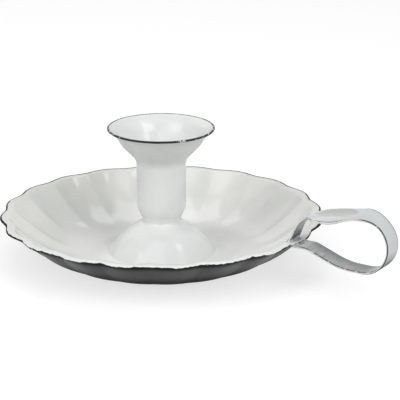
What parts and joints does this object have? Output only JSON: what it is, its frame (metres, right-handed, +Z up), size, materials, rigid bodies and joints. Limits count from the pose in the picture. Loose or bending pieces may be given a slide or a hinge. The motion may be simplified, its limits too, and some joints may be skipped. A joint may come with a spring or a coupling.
{
  "type": "chamberstick",
  "caption": "Enamelled chamberstick: fluted pan on a flat foot, bell pedestal, candle socket with a flared drip cup, and a finger loop with a thumb rest.",
  "frame": {"origin": "centre of the pan's flat foot, on the surface it stands on", "axes": "+Z up along the candle, +X out along the finger loop"},
  "size_m": [0.2129, 0.1638, 0.0684],
  "materials": {
    "white_enamel": "gloss",
    "pan_enamel": "gloss"
  },
  "bodies": {
    "root": {"pan": "pan_enamel", "pedestal": "white_enamel", "pedestal_foot_seam": "white_enamel", "candle_socket": "white_enamel", "socket_braze": "white_enamel", "drip_cup": "white_enamel", "drip_cup_seam": "white_enamel", "handle_strap": "white_enamel", "strap_weld_upper": "white_enamel", "strap_weld_lower": "white_enamel"}
  },
  "joints": []
}
